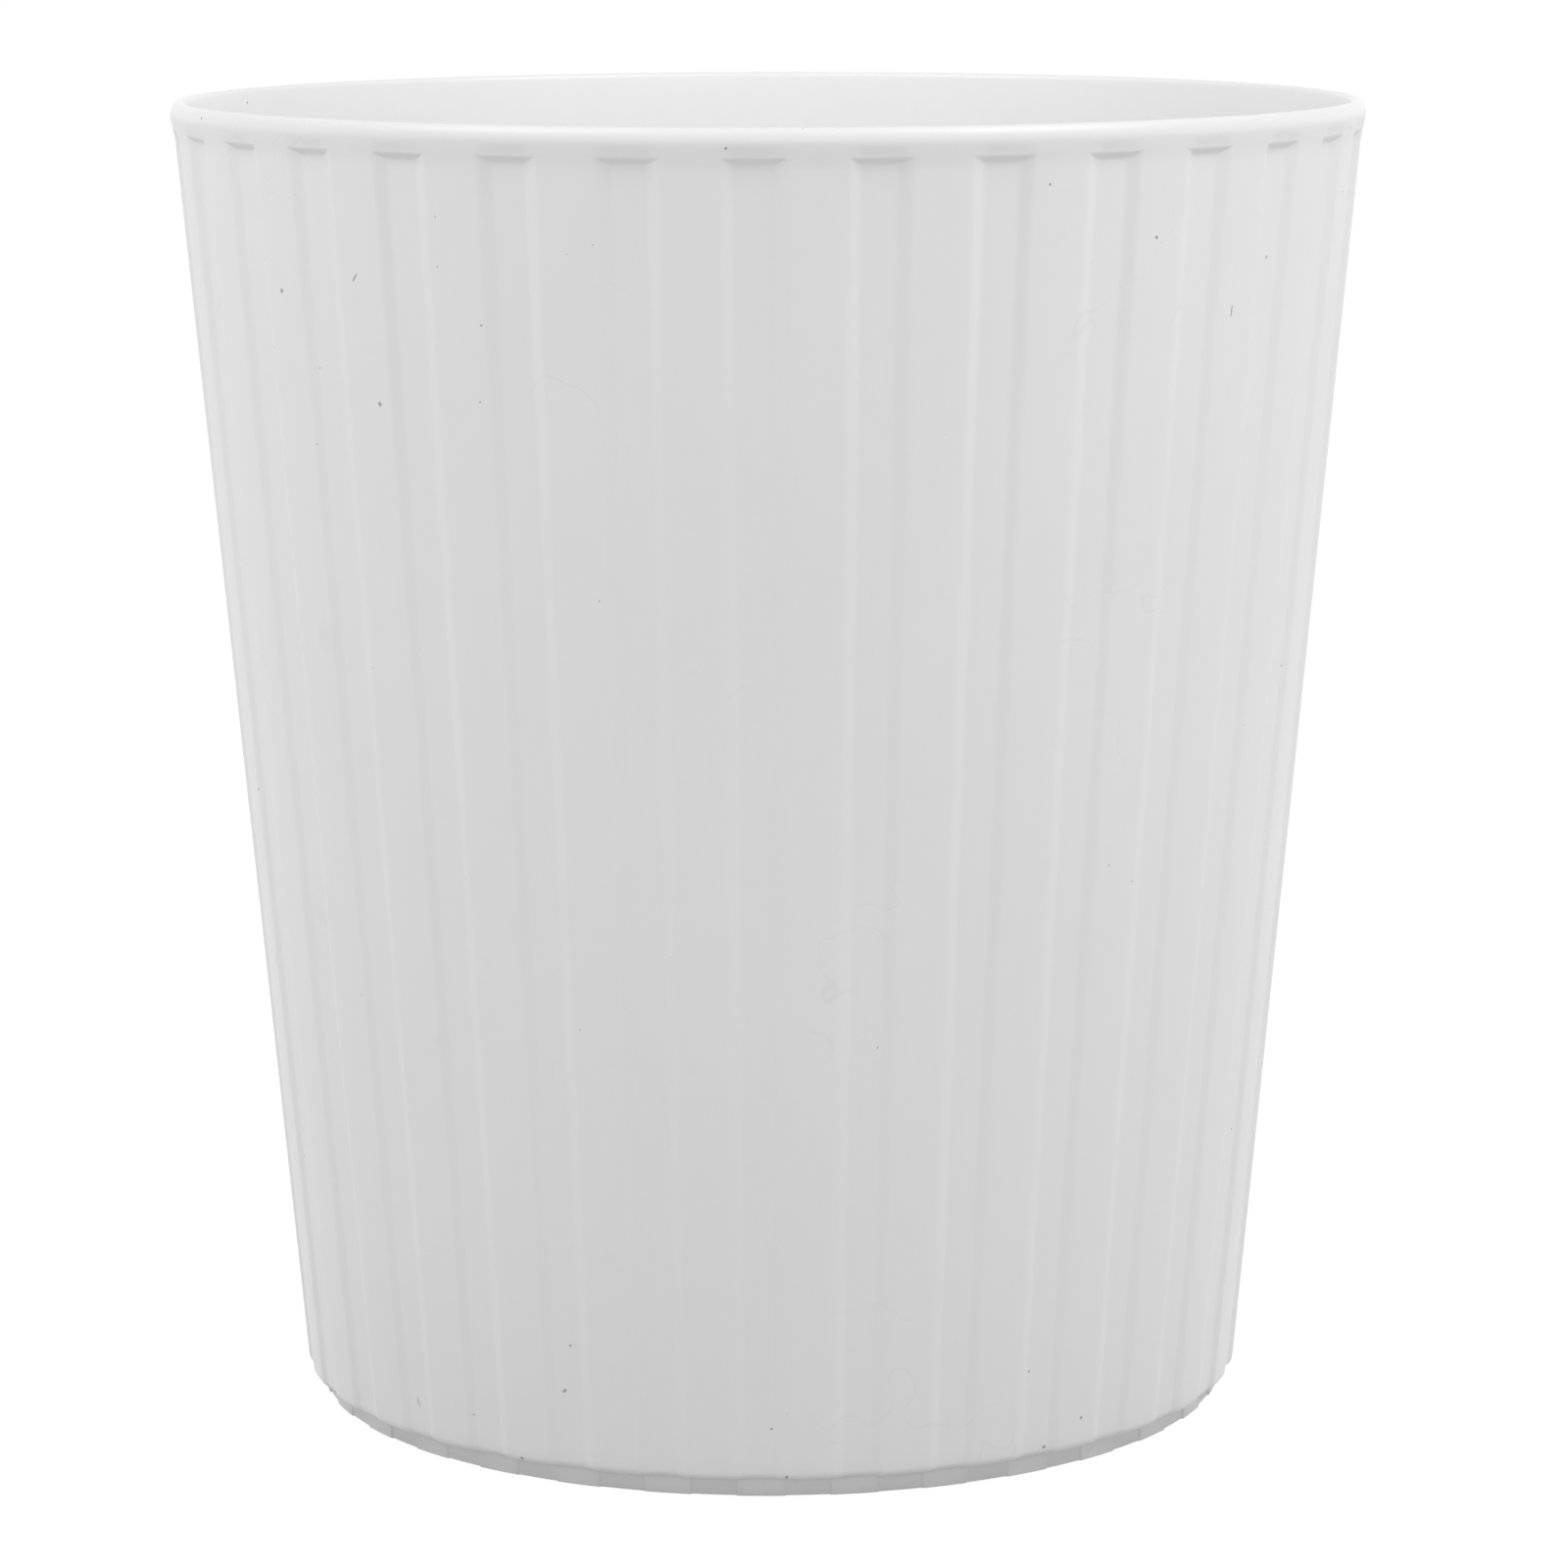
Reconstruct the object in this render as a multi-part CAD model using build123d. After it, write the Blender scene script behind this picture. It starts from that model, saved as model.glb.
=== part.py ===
from build123d import *
import os
from math import cos, pi, radians, sin, tan

# A round, open wastebasket: one plastic moulding, split at flat planes into the regions that do
# different jobs. Lengths are in millimetres. The origin is the centre of the ring that it stands on,
# +Z is up, and the middle of one flute faces -Y.

# Heights
TOTAL_HEIGHT = 280.0
FOOT_HEIGHT = 4.0
RIM_HEIGHT = 5.6
FLOOR_THICKNESS = 2.4
WALL_TOP = TOTAL_HEIGHT - RIM_HEIGHT
FLOOR_TOP = FOOT_HEIGHT + FLOOR_THICKNESS

# The cone that the raised bands of the wall lie on
BAND_RADIUS_AT_FOOT = 102.26
BAND_RADIUS_AT_RIM = 126.46
DRAFT = (BAND_RADIUS_AT_RIM - BAND_RADIUS_AT_FOOT) / (WALL_TOP - FOOT_HEIGHT)
WALL_THICKNESS = 2.7
WALL_EDGE_ROUNDING = 2.0
INSIDE_CORNER_RADIUS = 2.2

# Flutes: shallow recesses that run up the wall, deepen towards the rim and end in a short slope
FLUTE_COUNT = 32
FLUTE_DEPTH_AT_FOOT = 0.75
FLUTE_DEPTH_MIDWAY = 0.85
FLUTE_DEPTH_AT_RIM = 1.3
FLUTE_MIDWAY_HEIGHT = 200.0
FLUTE_END_HEIGHT = 1.8
FLUTE_MOUTH_ANGLE = 5.8
FLUTE_FLOOR_ANGLE = 4.6
FACING = -90.0

# Rim: a plain band that flares slightly from the raised bands and ends in a rounded lip
RIM_RADIUS = 127.25
RIM_SHOULDER_HEIGHT = 3.0
LIP_OUTER_ROUNDING = 1.7
LIP_INNER_ROUNDING = 1.2
SHOULDER_ROUNDING = 3.0

# Foot ring, stepped in under the wall, with a shallow relief in step with the raised bands
FOOT_RADIUS = 99.0
FOOT_WIDTH = 2.6
FOOT_RELIEF_DEPTH = 0.45
FOOT_RELIEF_ANGLE = 5.85
FOOT_EDGE_ROUNDING = 0.4

FLOOR_PANEL_RADIUS = 97.5
CUT_MARGIN = 1.0


def band_radius(height):
    """Outer radius of the raised bands at a height."""
    return BAND_RADIUS_AT_FOOT + DRAFT * (height - FOOT_HEIGHT)


def inner_radius(height):
    """Radius of the smooth inside at a height."""
    return band_radius(height) - WALL_THICKNESS


def rounded_profile(points, roundings):
    """A face in the XZ plane, through the points, with the rounding given for some of the corners."""
    face = make_face(Plane.XZ * Polyline(*points, close=True))
    for index, radius in roundings.items():
        x, z = points[index]
        corner = face.vertices().sort_by_distance((x, 0, z))[0]
        face = fillet(corner, radius)
    return face


def around(radius, angle, height):
    """The point at an angle in degrees round the axis, counted from the facing direction."""
    turn = radians(FACING + angle)
    return Vector(radius * cos(turn), radius * sin(turn), height)


def flute_section(height, depth):
    """The outline of one flute at a height and a depth, open past the raised surface."""
    surface = band_radius(height)
    slope = (FLUTE_MOUTH_ANGLE - FLUTE_FLOOR_ANGLE) / 2 / FLUTE_DEPTH_AT_RIM
    half_floor = FLUTE_MOUTH_ANGLE / 2 - slope * depth
    half_open = FLUTE_MOUTH_ANGLE / 2 + slope * CUT_MARGIN
    corners = [
        around(surface - depth, -half_floor, height),
        around(surface - depth, half_floor, height),
        around(surface + CUT_MARGIN, half_open, height),
        around(surface + CUT_MARGIN, -half_open, height),
    ]
    return make_face(Polyline(*corners, close=True))


def make_flute():
    """The space of one flute. Its top end slopes out to the raised surface at the top of the wall."""
    overshoot = CUT_MARGIN / 2
    past_surface = -FLUTE_DEPTH_AT_RIM / FLUTE_END_HEIGHT * overshoot
    sections = [
        flute_section(FOOT_HEIGHT - CUT_MARGIN, FLUTE_DEPTH_AT_FOOT),
        flute_section(FLUTE_MIDWAY_HEIGHT, FLUTE_DEPTH_MIDWAY),
        flute_section(WALL_TOP - FLUTE_END_HEIGHT, FLUTE_DEPTH_AT_RIM),
        flute_section(WALL_TOP + overshoot, past_surface),
    ]
    return loft(sections, ruled=True)


def make_fluted_wall():
    """The conical wall with its flutes, its lower edge and the rounded inside corner at the floor."""
    points = [
        (FLOOR_PANEL_RADIUS, FOOT_HEIGHT),
        (BAND_RADIUS_AT_FOOT, FOOT_HEIGHT),
        (BAND_RADIUS_AT_RIM, WALL_TOP),
        (inner_radius(WALL_TOP), WALL_TOP),
        (inner_radius(FLOOR_TOP), FLOOR_TOP),
        (FLOOR_PANEL_RADIUS, FLOOR_TOP),
    ]
    profile = rounded_profile(points, {1: WALL_EDGE_ROUNDING, 4: INSIDE_CORNER_RADIUS})
    wall = revolve(profile, Axis.Z, 360)
    flute = make_flute()
    flutes = [Rot(0, 0, 360 / FLUTE_COUNT * index) * flute for index in range(FLUTE_COUNT)]
    return wall - flutes


def make_rim_band():
    """The plain band above the flutes, with its flared shoulder and rounded lip."""
    points = [
        (inner_radius(WALL_TOP), WALL_TOP),
        (BAND_RADIUS_AT_RIM, WALL_TOP),
        (RIM_RADIUS, WALL_TOP + RIM_SHOULDER_HEIGHT),
        (RIM_RADIUS, TOTAL_HEIGHT),
        (inner_radius(TOTAL_HEIGHT), TOTAL_HEIGHT),
    ]
    roundings = {2: SHOULDER_ROUNDING, 3: LIP_OUTER_ROUNDING, 4: LIP_INNER_ROUNDING}
    return revolve(rounded_profile(points, roundings), Axis.Z, 360)


def make_floor_panel():
    """The flat disc that closes the bottom inside the wall."""
    return Pos(0, 0, FOOT_HEIGHT) * extrude(Circle(FLOOR_PANEL_RADIUS), FLOOR_THICKNESS)


def make_foot_ring():
    """The ring that touches the floor, relieved under each raised band of the wall."""
    inside = FOOT_RADIUS - FOOT_WIDTH
    points = [(inside, 0), (FOOT_RADIUS, 0), (FOOT_RADIUS, FOOT_HEIGHT), (inside, FOOT_HEIGHT)]
    ring = revolve(rounded_profile(points, {0: FOOT_EDGE_ROUNDING, 1: FOOT_EDGE_ROUNDING}), Axis.Z, 360)
    relieved = FOOT_RADIUS - FOOT_RELIEF_DEPTH
    width = 2 * relieved * tan(radians(FOOT_RELIEF_ANGLE / 2))
    notch = Pos(relieved + CUT_MARGIN, 0, FOOT_HEIGHT / 2) * Box(2 * CUT_MARGIN, width, 2 * FOOT_HEIGHT)
    pitch = 360 / FLUTE_COUNT
    notches = [Rot(0, 0, FACING + pitch * (index + 0.5)) * notch for index in range(FLUTE_COUNT)]
    return ring - notches


def main():
    os.makedirs("parts", exist_ok=True)
    nodes = {
        "fluted_wall": make_fluted_wall(),
        "rim_band": make_rim_band(),
        "floor_panel": make_floor_panel(),
        "foot_ring": make_foot_ring(),
    }
    for name, shape in nodes.items():
        export_step(shape, f"parts/{name}.step")
        print(name, "volume", round(shape.volume), "cubic mm")
    litres = pi * (TOTAL_HEIGHT - FLOOR_TOP) / 3 * (
        inner_radius(FLOOR_TOP) ** 2
        + inner_radius(FLOOR_TOP) * inner_radius(TOTAL_HEIGHT)
        + inner_radius(TOTAL_HEIGHT) ** 2
    ) / 1e6
    print("holds", round(litres, 2), "litres to the brim")


main()
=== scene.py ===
import math

import bpy
from mathutils import Matrix, Vector


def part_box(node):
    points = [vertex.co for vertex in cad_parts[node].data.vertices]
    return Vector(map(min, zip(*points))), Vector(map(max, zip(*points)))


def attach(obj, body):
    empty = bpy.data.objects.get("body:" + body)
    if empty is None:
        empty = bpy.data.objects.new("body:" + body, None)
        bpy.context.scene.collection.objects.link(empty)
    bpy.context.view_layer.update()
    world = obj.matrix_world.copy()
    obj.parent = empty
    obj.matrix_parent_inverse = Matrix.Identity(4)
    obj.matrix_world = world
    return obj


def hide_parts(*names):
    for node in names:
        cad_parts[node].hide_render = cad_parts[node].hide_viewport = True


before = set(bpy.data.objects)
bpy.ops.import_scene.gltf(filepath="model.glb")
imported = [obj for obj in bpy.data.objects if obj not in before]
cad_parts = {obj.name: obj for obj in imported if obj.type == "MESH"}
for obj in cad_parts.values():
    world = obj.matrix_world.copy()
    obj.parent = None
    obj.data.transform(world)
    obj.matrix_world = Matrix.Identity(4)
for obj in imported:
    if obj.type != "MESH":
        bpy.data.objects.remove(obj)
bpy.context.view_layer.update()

# Lengths are in metres, in the frame's own axes: +Z up, the origin under the middle of the bin,
# and the middle of one flute facing -Y. Angles round the bin count from that flute, to its right.
MM = 0.001

# What the frame says
FOOT_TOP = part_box("foot_ring")[1].z
FLOOR_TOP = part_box("floor_panel")[1].z
WALL_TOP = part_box("fluted_wall")[1].z
RIM_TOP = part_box("rim_band")[1].z
FLOOR_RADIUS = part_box("floor_panel")[1].x
FOOT_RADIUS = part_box("foot_ring")[1].x
RIM_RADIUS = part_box("rim_band")[1].y

# The wall's cone, its thickness and its flutes
FLUTES = 32
PITCH = 2 * math.pi / FLUTES
FACING = -math.pi / 2
BAND_RADIUS_LOW = 102.26 * MM
BAND_RADIUS_HIGH = 126.46 * MM
DRAFT = (BAND_RADIUS_HIGH - BAND_RADIUS_LOW) / (WALL_TOP - FOOT_TOP)
WALL_THICKNESS = 2.7 * MM
FLUTE_DEPTH_LOW = 0.75 * MM
FLUTE_DEPTH_MIDWAY = 0.85 * MM
FLUTE_DEPTH_HIGH = 1.3 * MM
FLUTE_MIDWAY = 200 * MM
FLUTE_MOUTH = math.radians(3.15)
FLUTE_FLOOR = math.radians(1.4)
FLUTE_EASE = 0.35
FLUTE_END_HEIGHT = 1.8 * MM
FLUTE_END_EASE = 0.3
WALL_EDGE_ROUNDING = 2.0 * MM
INSIDE_CORNER = 2.2 * MM

# Rim: its flare starts flush with the raised bands, and over each flute its lower edge leans in
# to meet the flute's sloped end
FLARE_START = 3.0 * MM
LIP_HEIGHT = 2.8 * MM
LIP_OUTER_WIDTH = 1.75 * MM
LIP_INNER_ROUNDING = 1.2 * MM
LEDGE_LEAN = 0.25 * MM
LEDGE_LEAN_HEIGHT = 2.5 * MM

# Foot ring relief, in step with the raised bands
FOOT_WIDTH = 2.6 * MM
FOOT_EDGE_ROUNDING = 0.4 * MM
RELIEF_DEPTH = 0.45 * MM
RELIEF_HALF = math.radians(2.9)
RELIEF_STEP = math.radians(0.12)


def band_radius(z):
    """Outer radius of the raised bands at a height."""
    return BAND_RADIUS_LOW + DRAFT * (z - FOOT_TOP)


def inner_radius(z):
    """Radius of the smooth inside at a height."""
    return band_radius(z) - WALL_THICKNESS


def smooth_step(t):
    """0 below 0, 1 above 1, and a smooth rise between them."""
    t = min(max(t, 0.0), 1.0)
    return t * t * (3 - 2 * t)


def eased_ramp(t, ease):
    """0 to 1 with a straight middle: the slope builds up over the first share of the way, and dies
    away over the last."""
    t = min(max(t, 0.0), 1.0)
    slope = 1 / (1 - ease)
    if t < ease:
        return slope * t * t / (2 * ease)
    if t > 1 - ease:
        return 1 - slope * (1 - t) ** 2 / (2 * ease)
    return slope * (t - ease / 2)


# ---------------------------------------------------------------- mesh tools


def rounded(points, radii, steps):
    """The closed outline through the points, with arcs of the given radii at some corners."""
    outline = []
    count = len(points)
    for index, point in enumerate(points):
        radius = radii.get(index, 0.0)
        corner = Vector(point)
        if radius == 0.0:
            outline.append(tuple(corner))
            continue
        to_last = (Vector(points[index - 1]) - corner).normalized()
        to_next = (Vector(points[(index + 1) % count]) - corner).normalized()
        half = to_last.angle(to_next) / 2
        centre = corner + (to_last + to_next).normalized() * radius / math.sin(half)
        start = corner + to_last * radius / math.tan(half) - centre
        end = corner + to_next * radius / math.tan(half) - centre
        turn = math.atan2(start.x * end.y - start.y * end.x, start.dot(end))
        for step in range(steps + 1):
            spoke = start.copy()
            spoke.rotate(Matrix.Rotation(turn * step / steps, 2))
            outline.append(tuple(centre + spoke))
    return outline


def divided(start, end, count):
    """Points evenly spaced between two points, without the two ends."""
    a, b = Vector(start), Vector(end)
    return [tuple(a.lerp(b, step / count)) for step in range(1, count)]


SLOPE_COLUMNS = 10
FLOOR_COLUMN_SHARES = (0.33, 0.67)
BAND_COLUMN_ANGLES = (3.9, 4.8)


def column_angles():
    """Angles of the mesh columns, close together on the flutes' slopes and the foot's steps."""
    run = (FLUTE_MOUTH - FLUTE_FLOOR) / SLOPE_COLUMNS
    slope = [FLUTE_FLOOR + run * step for step in range(SLOPE_COLUMNS + 1)]
    steps = [RELIEF_HALF - RELIEF_STEP, RELIEF_HALF + RELIEF_STEP]
    middle = [FLUTE_FLOOR * share for share in FLOOR_COLUMN_SHARES]
    band = [math.radians(angle) for angle in BAND_COLUMN_ANGLES]
    half = sorted(set(middle + slope + steps + band))
    one = [-angle for angle in reversed(half)] + [0.0] + half + [PITCH / 2]
    return [PITCH * index + angle for index in range(FLUTES) for angle in one]


COLUMNS = column_angles()


def from_flute(angle):
    """How far an angle is from the middle of its nearest flute."""
    return abs((angle + PITCH / 2) % PITCH - PITCH / 2)


def mesh_object(name, verts, faces):
    """A smooth mesh object from vertices and faces."""
    mesh = bpy.data.meshes.new(name)
    mesh.from_pydata(verts, [], faces)
    mesh.validate()
    for polygon in mesh.polygons:
        polygon.use_smooth = True
    piece = bpy.data.objects.new(name, mesh)
    bpy.context.scene.collection.objects.link(piece)
    return piece


def lathe(name, section, sharp_rows=()):
    """A closed ring: section(angle) gives the closed outline, as (radius, height), at each column.
    Rings at the rows named in sharp_rows keep a crisp edge."""
    outlines = [section(angle) for angle in COLUMNS]
    rows = len(outlines[0])
    columns = len(COLUMNS)
    verts = []
    for angle, outline in zip(COLUMNS, outlines):
        turn = FACING + angle
        for radius, z in outline:
            verts.append((radius * math.cos(turn), radius * math.sin(turn), z))
    faces = []
    for column in range(columns):
        following = (column + 1) % columns
        for row in range(rows):
            below = (row + 1) % rows
            faces.append(
                (
                    column * rows + row,
                    following * rows + row,
                    following * rows + below,
                    column * rows + below,
                )
            )
    piece = mesh_object(name, verts, faces)
    mark_sharp(piece, rows, sharp_rows)
    return piece


def mark_sharp(piece, rows, sharp_rows):
    """Marks the rings at the given rows as crisp edges, so that shading doesn't turn round them."""
    wanted = set(sharp_rows)
    for edge in piece.data.edges:
        a, b = edge.vertices
        if a % rows == b % rows and a % rows in wanted:
            edge.use_edge_sharp = True


# -------------------------------------------------------------------- pieces

WALL_ROWS = 18
END_ROWS = 12
CORNER_STEPS = 7
RIM_FACE_ROWS = 14
LIP_STEPS = 12
LIP_INNER_STEPS = 8
RIM_INSIDE_ROWS = 3
FOOT_CORNER_STEPS = 4
FLOOR_RINGS = (1.0, 0.97, 0.85, 0.6, 0.3, 0.1)


def flute_share(angle):
    """How deep the flute is at an angle: 0 on a raised band, 1 on the flute's floor."""
    return eased_ramp((FLUTE_MOUTH - from_flute(angle)) / (FLUTE_MOUTH - FLUTE_FLOOR), FLUTE_EASE)


def full_depth(z):
    """Depth of a flute's floor at a height: it deepens towards the rim."""
    if z < FLUTE_MIDWAY:
        rise = (z - FOOT_TOP) / (FLUTE_MIDWAY - FOOT_TOP)
        return FLUTE_DEPTH_LOW + (FLUTE_DEPTH_MIDWAY - FLUTE_DEPTH_LOW) * rise
    rise = (z - FLUTE_MIDWAY) / (WALL_TOP - FLUTE_MIDWAY)
    return FLUTE_DEPTH_MIDWAY + (FLUTE_DEPTH_HIGH - FLUTE_DEPTH_MIDWAY) * rise


def flute_depth(share, z):
    """Depth below the raised bands at a height, for a flute_share. The flute's top end slopes out
    to the rim's edge."""
    up_end = eased_ramp((WALL_TOP - z) / FLUTE_END_HEIGHT, FLUTE_END_EASE)
    return LEDGE_LEAN * share + (full_depth(z) - LEDGE_LEAN) * min(share, up_end)


def flare(z):
    """How far the outside stands out from the raised bands' cone near the rim."""
    lip_start = RIM_TOP - LIP_HEIGHT
    most = RIM_RADIUS - band_radius(lip_start)
    start = WALL_TOP - FLARE_START
    return most * smooth_step((z - start) / (lip_start - start))


def wall_heights():
    """Heights of the rows up the outside, close together on the flutes' sloped ends."""
    slope_start = WALL_TOP - FLUTE_END_HEIGHT
    flare_start = WALL_TOP - FLARE_START
    low = FOOT_TOP + 2 * WALL_EDGE_ROUNDING
    plain = [low + (flare_start - low) * step / WALL_ROWS for step in range(WALL_ROWS)]
    bend = [flare_start, (flare_start + slope_start) / 2]
    end = [slope_start + FLUTE_END_HEIGHT * step / END_ROWS for step in range(END_ROWS + 1)]
    return plain + bend + end


def wall_section(angle):
    """The wall's outline at an angle: fluted outside, rounded lower edge, rounded inside corner."""
    share = flute_share(angle)
    depth = flute_depth(share, FOOT_TOP)
    points = [
        (FLOOR_RADIUS, FOOT_TOP),
        (BAND_RADIUS_LOW - depth, FOOT_TOP),
        (BAND_RADIUS_HIGH - depth, WALL_TOP),
        (inner_radius(WALL_TOP), WALL_TOP),
        (inner_radius(FLOOR_TOP), FLOOR_TOP),
        (FLOOR_RADIUS, FLOOR_TOP),
    ]
    outline = rounded(points, {1: WALL_EDGE_ROUNDING, 4: INSIDE_CORNER}, CORNER_STEPS)
    top = CORNER_STEPS + 2
    outside = [(band_radius(z) + flare(z) - flute_depth(share, z), z) for z in wall_heights()]
    inside = divided(outline[top + 1], outline[top + 2], WALL_ROWS)
    return outline[:top] + outside + [outline[top + 1]] + inside + outline[top + 2:]


def make_wall():
    top_outside = CORNER_STEPS + 1 + len(wall_heights())
    last = len(wall_section(0.0)) - 1
    return lathe("wall_shell", wall_section, [0, top_outside, top_outside + 1, last])


def rim_face(z, share):
    """Outer radius of the rim below its lip, at a height: flush with the bands where share is 0,
    leaning in towards its lower edge where share is 1, over the middle of a flute."""
    lean = LEDGE_LEAN * share * (1 - smooth_step((z - WALL_TOP) / LEDGE_LEAN_HEIGHT))
    return band_radius(z) + flare(z) - lean


def rim_section(angle):
    """The rim's outline: flared face, leaning in over the flutes, and a full rounded lip."""
    share = flute_share(angle)
    lip_start = RIM_TOP - LIP_HEIGHT
    outline = [(inner_radius(WALL_TOP), WALL_TOP)]
    for step in range(RIM_FACE_ROWS):
        z = WALL_TOP + (lip_start - WALL_TOP) * step / RIM_FACE_ROWS
        outline.append((rim_face(z, share), z))
    for step in range(LIP_STEPS + 1):
        turn = math.pi / 2 * step / LIP_STEPS
        radius = RIM_RADIUS - LIP_OUTER_WIDTH * (1 - math.cos(turn))
        outline.append((radius, lip_start + LIP_HEIGHT * math.sin(turn)))
    inner = rounded(
        [(RIM_RADIUS, RIM_TOP), (inner_radius(RIM_TOP), RIM_TOP), (inner_radius(WALL_TOP), WALL_TOP)],
        {1: LIP_INNER_ROUNDING},
        LIP_INNER_STEPS,
    )
    outline += inner[1:-1]
    return outline + divided(inner[-2], inner[-1], RIM_INSIDE_ROWS)


def make_rim():
    return lathe("rim_lip", rim_section, [0, 1])


def foot_section(angle):
    """The foot ring's outline at an angle, set back under each raised band."""
    relief = smooth_step((from_flute(angle) - RELIEF_HALF + RELIEF_STEP) / (2 * RELIEF_STEP))
    outside = FOOT_RADIUS - RELIEF_DEPTH * relief
    inside = FOOT_RADIUS - FOOT_WIDTH
    points = [(inside, 0.0), (outside, 0.0), (outside, FOOT_TOP), (inside, FOOT_TOP)]
    return rounded(points, {0: FOOT_EDGE_ROUNDING, 1: FOOT_EDGE_ROUNDING}, FOOT_CORNER_STEPS)


def make_foot():
    rows = len(foot_section(0.0))
    return lathe("foot_stand", foot_section, [rows - 2, rows - 1])


def make_floor():
    """The floor disc, as rings that close on a point at the middle of each side."""
    rings = [FLOOR_RADIUS * share for share in FLOOR_RINGS]
    columns = len(COLUMNS)
    verts = []
    for z in (FLOOR_TOP, FOOT_TOP):
        for radius in rings:
            for angle in COLUMNS:
                turn = FACING + angle
                verts.append((radius * math.cos(turn), radius * math.sin(turn), z))
    top_middle = len(verts)
    verts += [(0.0, 0.0, FLOOR_TOP), (0.0, 0.0, FOOT_TOP)]
    bottom = len(rings) * columns
    faces = []
    for column in range(columns):
        following = (column + 1) % columns
        for ring in range(len(rings) - 1):
            a, b = ring * columns, (ring + 1) * columns
            faces.append((a + column, a + following, b + following, b + column))
            a, b = a + bottom, b + bottom
            faces.append((a + column, b + column, b + following, a + following))
        last = (len(rings) - 1) * columns
        faces.append((last + column, last + following, top_middle))
        faces.append((bottom + last + following, bottom + last + column, top_middle + 1))
        faces.append((column, bottom + column, bottom + following, following))
    piece = mesh_object("floor_disc", verts, faces)
    for edge in piece.data.edges:
        a, b = edge.vertices
        both_top = a < columns and b < columns
        both_bottom = bottom <= a < bottom + columns and bottom <= b < bottom + columns
        edge.use_edge_sharp = both_top or both_bottom
    return piece


# ----------------------------------------------------------------- materials

# A few flecks moulded into the white plastic: angle round the bin in degrees, height, width and
# length in millimetres, and the lean of the long side in degrees
FLECKS = (
    (-38, 224, 1.1, 1.1, 0),
    (-66, 267, 1.0, 1.2, 0),
    (-54, 251, 0.8, 1.0, 0),
    (-51, 245, 1.2, 1.1, 0),
    (-40, 249, 0.45, 2.6, 40),
    (39, 257, 0.9, 0.8, 0),
    (50, 241, 0.5, 2.8, 5),
    (56, 251, 0.8, 1.0, 20),
    (66, 259, 0.9, 0.8, 0),
    (35, 6, 1.1, 0.9, 0),
    (40, 11, 0.8, 0.8, 0),
    (-29, 5, 1.0, 0.8, 0),
    (-23, 21, 1.4, 0.8, -35),
    (-22, 31, 0.7, 0.6, 0),
    (-45, 12, 0.35, 2.6, -15),
    (3, 5, 0.8, 0.8, 0),
)
DIRT = (0.10, 0.095, 0.09, 1)
DUST = (0.52, 0.50, 0.47, 1)


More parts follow.
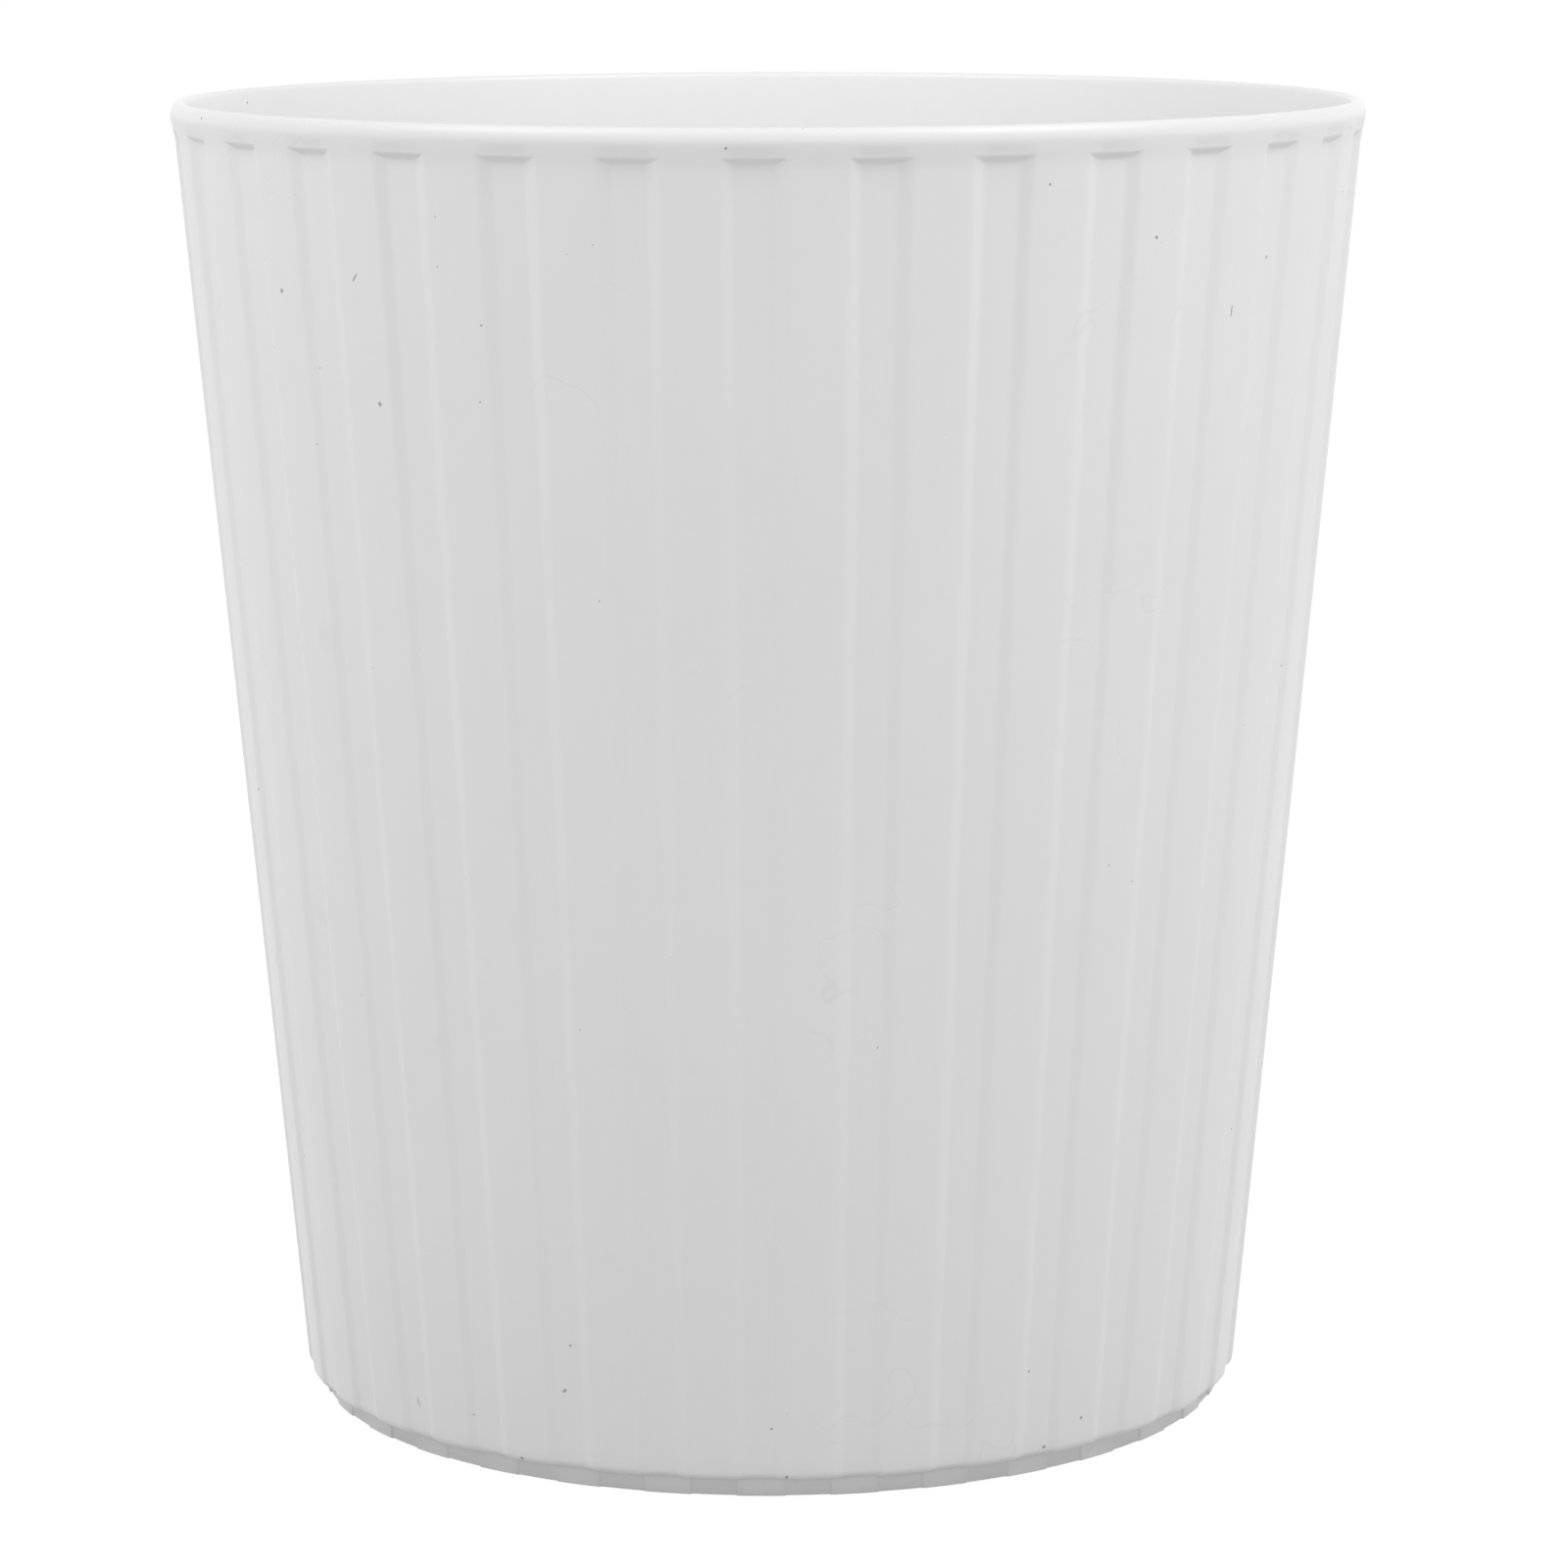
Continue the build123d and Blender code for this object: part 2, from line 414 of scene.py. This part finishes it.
class Plastic:
    """A satin white moulded plastic, built node by node. Its lengths are in millimetres."""

    def __init__(self, name):
        self.material = bpy.data.materials.new(name)
        self.material.use_nodes = True
        self.tree = self.material.node_tree
        self.shader = self.tree.nodes["Principled BSDF"]
        coords = self.add("TexCoord")
        scaled = {0: coords.outputs["Object"], "Scale": 1 / MM}
        self.place = self.add("VectorMath", scaled, operation="SCALE").outputs[0]
        split = self.add("SeparateXYZ", {0: self.place})
        self.height = split.outputs["Z"]
        across = self.calc("MULTIPLY", split.outputs["X"], split.outputs["X"])
        along = self.calc("MULTIPLY", split.outputs["Y"], split.outputs["Y"])
        self.radius = self.calc("SQRT", self.calc("ADD", across, along))

    def add(self, kind, inputs=None, **settings):
        """A node with its settings, and with its inputs set to numbers or linked to sockets."""
        node = self.tree.nodes.new("ShaderNode" + kind)
        for key, value in settings.items():
            setattr(node, key, value)
        for key, value in (inputs or {}).items():
            if isinstance(value, bpy.types.NodeSocket):
                self.tree.links.new(value, node.inputs[key])
            else:
                node.inputs[key].default_value = value
        return node

    def calc(self, operation, a, b=0.0):
        return self.add("Math", {0: a, 1: b}, operation=operation).outputs[0]

    def total(self, *parts):
        """Sum of (socket, weight) pairs."""
        result = None
        for socket, weight in parts:
            term = self.calc("MULTIPLY", socket, weight)
            result = term if result is None else self.calc("ADD", result, term)
        return result

    def fade(self, value, low, high, at_low=0.0, at_high=1.0):
        """A smooth change from at_low to at_high as the value goes from low to high."""
        ends = {"Value": value, "From Min": low, "From Max": high, "To Min": at_low, "To Max": at_high}
        return self.add("MapRange", ends, interpolation_type="SMOOTHSTEP").outputs[0]

    def stretched(self, stretch, lean=(0.0, 0.0, 0.0)):
        """The place, squeezed so that a pattern gets longer along an axis."""
        turned = {"Vector": self.place, "Rotation": lean, "Scale": [1 / length for length in stretch]}
        return self.add("Mapping", turned, vector_type="POINT").outputs[0]

    def noise(self, size, detail=2.0, place=None):
        """Soft noise from about -0.5 to 0.5 with features of a size."""
        inputs = {"Vector": place or self.place, "Scale": 1 / size, "Detail": detail}
        return self.calc("SUBTRACT", self.add("TexNoise", inputs).outputs[0], 0.5)

    def spots(self, spacing, radius, chance):
        """Round spots scattered through the plastic, a share of the places being filled."""
        cells = self.add("TexVoronoi", {"Vector": self.place, "Scale": 1 / spacing}, feature="F1")
        dice = self.add("SeparateColor", {0: cells.outputs["Color"]})
        size = self.fade(dice.outputs[1], 0.0, 1.0, 0.5 * radius / spacing, radius / spacing)
        inside = self.calc("DIVIDE", cells.outputs["Distance"], size)
        filled = self.calc("LESS_THAN", dice.outputs[0], chance)
        return self.calc("MULTIPLY", self.fade(inside, 1.0, 0.6), filled)

    def hairlines(self, size, width, share, place=None):
        """Thin curved scratches: lines of equal value of a noise, kept only in some patches."""
        level = self.calc("ABSOLUTE", self.noise(size, 1.0, place))
        line = self.fade(level, 0.0, width / size, 1.0, 0.0)
        patch = self.fade(self.noise(size * 2.3, 1.0), share, share + 0.06)
        return self.calc("MULTIPLY", line, patch)

    def flecks(self):
        """The flecks that have a place of their own."""
        result = None
        for angle, z, width, length, lean in FLECKS:
            turn = FACING + math.radians(angle)
            radius = band_radius(z * MM) / MM
            place = (radius * math.cos(turn), radius * math.sin(turn), z)
            inputs = {
                "Vector": self.place,
                "Location": place,
                "Rotation": (0.0, math.radians(lean), turn - FACING),
                "Scale": (width / 2, 3.0, length / 2),
            }
            local = self.add("Mapping", inputs, vector_type="TEXTURE").outputs[0]
            reach = self.add("VectorMath", {0: local}, operation="LENGTH").outputs["Value"]
            fleck = self.fade(reach, 1.1, 0.6)
            result = fleck if result is None else self.calc("MAXIMUM", result, fleck)
        return result

    def mixed(self, share, below, above):
        """One colour over another."""
        mix = self.add("Mix", {0: share, 6: below, 7: above}, data_type="RGBA")
        return mix.outputs[2]

    def finish(self, tone, layers, roughness, height):
        """Wires up the shader: tone is grey, layers are (share, colour) laid over it, and height is
        the relief in millimetres."""
        grey = self.add("CombineColor", {0: tone, 1: tone, 2: tone})
        colour = grey.outputs[0]
        for share, over in layers:
            colour = self.mixed(share, colour, over)
        self.tree.links.new(colour, self.shader.inputs["Base Color"])
        self.tree.links.new(roughness, self.shader.inputs["Roughness"])
        self.shader.inputs["IOR"].default_value = 1.49
        relief = self.add("Bump", {"Height": height, "Distance": MM, "Strength": 1.0})
        self.tree.links.new(relief.outputs[0], self.shader.inputs["Normal"])
        return self.material


TONE = 0.92
ROUGHNESS = 0.35


def moulded(name, tone=TONE, roughness=ROUGHNESS, flecked=False, spot_chance=0.12, grime=0.0, worn=0.0):
    """The bin's plastic, as it looks on one piece: spot_chance is how many of the specks show in the
    middle of the bin's height, grime how much dirt gathers low down, worn how scuffed it is."""
    paint = Plastic(name)
    cloud = paint.noise(70.0, 1.0)
    grain = paint.noise(9.0, 2.0)
    streak = paint.noise(1.0, 2.0, paint.stretched((3.5, 3.5, 120.0)))
    fine = paint.noise(1.1, 2.0)
    mottle = paint.noise(14.0, 3.0)
    wave = paint.noise(26.0, 1.0)
    base = paint.total((cloud, 0.030), (grain, 0.012), (streak, 0.007), (fine, 0.006))
    shade = paint.calc("ADD", base, tone)

    # Specks, most of them near the rim and near the foot
    ends = paint.calc("MAXIMUM", paint.fade(paint.height, 215.0, 262.0), paint.fade(paint.height, 30.0, 8.0))
    chance = paint.calc("ADD", paint.calc("MULTIPLY", ends, 0.4), spot_chance)
    specks = paint.calc("MULTIPLY", paint.spots(9.0, 0.42, chance), 0.62)
    patch = paint.fade(paint.noise(30.0, 1.0), 0.13, 0.24)
    crumbs = paint.calc("MULTIPLY", paint.spots(2.6, 0.26, paint.calc("MULTIPLY", patch, 0.4)), 0.45)
    smudges = paint.calc("MULTIPLY", paint.spots(31.0, 6.5, 0.30), paint.fade(grain, -0.15, 0.15))
    layers = [(paint.calc("MAXIMUM", specks, crumbs), DIRT), (paint.calc("MULTIPLY", smudges, 0.035), DUST)]
    if flecked:
        layers.append((paint.calc("MULTIPLY", paint.flecks(), 0.6), DIRT))

    # Hairline scratches everywhere, and rows of rubbed lines where the piece is worn
    scratches = paint.hairlines(16.0, 0.10, 0.10)
    rub_place = paint.stretched((1.0, 1.0, 26.0), (math.radians(12), math.radians(-9), 0.0))
    rubbed = paint.hairlines(2.6, 0.045, 0.04, rub_place)
    scuffed = paint.calc("MULTIPLY", paint.calc("MAXIMUM", rubbed, smudges), worn)
    layers.append((paint.calc("MULTIPLY", paint.calc("MAXIMUM", scratches, scuffed), 0.07), DUST))

    # Dirt that gathers low on the foot, in patches
    if grime:
        low = paint.fade(paint.height, 3.4, 0.4)
        patchy = paint.fade(mottle, -0.25, 0.2, 0.35, 1.0)
        layers.append((paint.calc("MULTIPLY", paint.calc("MULTIPLY", low, patchy), grime), DUST))

    rough = paint.calc(
        "ADD",
        paint.total((mottle, 0.10), (fine, 0.08), (smudges, 0.07), (scratches, 0.10), (scuffed, 0.16)),
        roughness,
    )
    lip = paint.fade(paint.height, 278.4, 279.9)
    rough = paint.calc("SUBTRACT", rough, paint.calc("MULTIPLY", lip, 0.05))
    height = paint.total((wave, 0.05), (fine, 0.005), (scratches, -0.012), (scuffed, -0.006), (specks, 0.01))
    return paint.finish(shade, layers, rough, height)


# --------------------------------------------------------------------- stage

STAGE_HALF = 40.0
SEEN_TONE = 0.50
SEEN_GLOW = 0.76
BOUNCE_GLOW = 0.04
BOUNCE_DROP = 0.5 * MM
BOUNCE_NEAR_TONE = 0.34
BOUNCE_FAR_TONE = 0.66
SHADED_REACH = 0.12
OPEN_REACH = 0.60


def stage_plane(name, z, tone, glow):
    """A large level plane of a grey tone, which also gives off a little light of its own."""
    mesh = bpy.data.meshes.new(name)
    half = STAGE_HALF
    corners = [(-half, -half, z), (half, -half, z), (half, half, z), (-half, half, z)]
    mesh.from_pydata(corners, [], [(0, 1, 2, 3)])
    floor = bpy.data.objects.new(name, mesh)
    bpy.context.scene.collection.objects.link(floor)
    material = bpy.data.materials.new(name)
    material.use_nodes = True
    material.cycles.emission_sampling = "NONE"
    shader = material.node_tree.nodes["Principled BSDF"]
    shader.inputs["Base Color"].default_value = (tone, tone, tone, 1)
    shader.inputs["Roughness"].default_value = 0.9
    shader.inputs["Specular IOR Level"].default_value = 0.0
    shader.inputs["Emission Color"].default_value = (1, 1, 1, 1)
    shader.inputs["Emission Strength"].default_value = glow
    mesh.materials.append(material)
    return floor


def shade_near_bin(tree):
    """Makes a stage plane darker near the bin, where the bin shades it."""
    coords = tree.nodes.new("ShaderNodeTexCoord")
    reach = tree.nodes.new("ShaderNodeVectorMath")
    reach.operation = "LENGTH"
    ramp = tree.nodes.new("ShaderNodeMapRange")
    ramp.inputs["From Min"].default_value = SHADED_REACH
    ramp.inputs["From Max"].default_value = OPEN_REACH
    ramp.inputs["To Min"].default_value = BOUNCE_NEAR_TONE
    ramp.inputs["To Max"].default_value = BOUNCE_FAR_TONE
    tree.links.new(coords.outputs["Object"], reach.inputs[0])
    tree.links.new(reach.outputs["Value"], ramp.inputs["Value"])
    tree.links.new(ramp.outputs[0], tree.nodes["Principled BSDF"].inputs["Base Color"])


def make_stage():
    """A pale floor that the camera and the gloss see, and a greyer one just under it that sends the
    light back up, so that a white floor doesn't light the bin from below."""
    seen = stage_plane("studio_floor", 0.0, SEEN_TONE, SEEN_GLOW)
    seen.visible_diffuse = False
    seen.visible_shadow = False
    bounce = stage_plane("studio_bounce", -BOUNCE_DROP, BOUNCE_FAR_TONE, BOUNCE_GLOW)
    shade_near_bin(bounce.data.materials[0].node_tree)
    bounce.visible_camera = False
    bounce.visible_glossy = False


def area_light(name, place, target, size, power):
    light = bpy.data.lights.new(name, "AREA")
    light.shape = "RECTANGLE"
    light.size, light.size_y = size
    light.energy = power
    lamp = bpy.data.objects.new(name, light)
    lamp.location = place
    aim = Vector(target) - Vector(place)
    lamp.rotation_euler = aim.to_track_quat("-Z", "Y").to_euler()
    bpy.context.scene.collection.objects.link(lamp)


SOFT_BOX_SIZE = (0.5, 0.5)
LEFT_POWER = 2.05
RIGHT_POWER = 2.6
HORIZON_SKY = 1.235
ZENITH_SKY = 0.156


def make_lights():
    """A round tent of soft light, brightest at the horizon, with a soft box high on each side."""
    mouth = (0, 0, RIM_TOP)
    area_light("left_high", (-0.5, -0.3, 0.9), mouth, SOFT_BOX_SIZE, LEFT_POWER)
    area_light("right_high", (0.5, -0.3, 0.9), mouth, SOFT_BOX_SIZE, RIGHT_POWER)
    world = bpy.data.worlds.new("studio")
    world.use_nodes = True
    nodes = world.node_tree.nodes
    links = world.node_tree.links
    back = nodes["Background"]
    back.inputs["Color"].default_value = (1, 1, 1, 1)
    coords = nodes.new("ShaderNodeTexCoord")
    split = nodes.new("ShaderNodeSeparateXYZ")
    ramp = nodes.new("ShaderNodeMapRange")
    ramp.inputs["To Min"].default_value = HORIZON_SKY
    ramp.inputs["To Max"].default_value = ZENITH_SKY
    links.new(coords.outputs["Generated"], split.inputs[0])
    links.new(split.outputs["Z"], ramp.inputs["Value"])
    links.new(ramp.outputs[0], back.inputs["Strength"])
    bpy.context.scene.world = world


# -------------------------------------------------------------------- camera

CAMERA_LENS = 125.5
SENSOR = 36.0
CAMERA_DISTANCE = 1.1769
CAMERA_HEIGHT = 0.335
CAMERA_PITCH = 9.84
CAMERA_AZIMUTH = 1.3
CAMERA_YAW = 0.15
CAMERA_ROLL = -0.12


def make_camera():
    """A camera at the viewing angle of the reference: a long lens, slightly above the rim."""
    camera = bpy.data.cameras.new("camera")
    camera.lens = CAMERA_LENS
    camera.sensor_width = SENSOR
    piece = bpy.data.objects.new("camera", camera)
    around = math.radians(CAMERA_AZIMUTH)
    place = Vector((math.sin(around), -math.cos(around), 0)) * CAMERA_DISTANCE
    place.z = CAMERA_HEIGHT
    facing = Matrix.Rotation(math.radians(CAMERA_AZIMUTH - CAMERA_YAW), 4, "Z")
    tilt = Matrix.Rotation(math.radians(90 - CAMERA_PITCH), 4, "X")
    roll = Matrix.Rotation(math.radians(CAMERA_ROLL), 4, "Z")
    piece.matrix_world = Matrix.Translation(place) @ facing @ tilt @ roll
    bpy.context.scene.collection.objects.link(piece)
    bpy.context.scene.camera = piece


# ------------------------------------------------------------------ assembly

make_camera()
make_stage()
make_lights()
bpy.context.scene.view_settings.view_transform = "Standard"

for make, node, material in (
    (make_wall, "fluted_wall", moulded("wall_plastic", flecked=True, worn=0.35)),
    (make_rim, "rim_band", moulded("rim_plastic", spot_chance=0.10, worn=0.25)),
    (make_floor, "floor_panel", moulded("floor_plastic", roughness=0.45, spot_chance=0.2, worn=1.0)),
    # The foot's darker tone (0.83 against the wall's 0.92) is painted shade: it stands in for the shadow
    # under the wall's overhanging lower edge and near the floor, on what is the same white plastic.
    (make_foot, "foot_ring", moulded("foot_plastic_painted_shade", tone=0.83, roughness=0.45, worn=0.8, grime=0.2)),
):
    piece = make()
    piece.data.materials.append(material)
    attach(piece, "root")
    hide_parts(node)
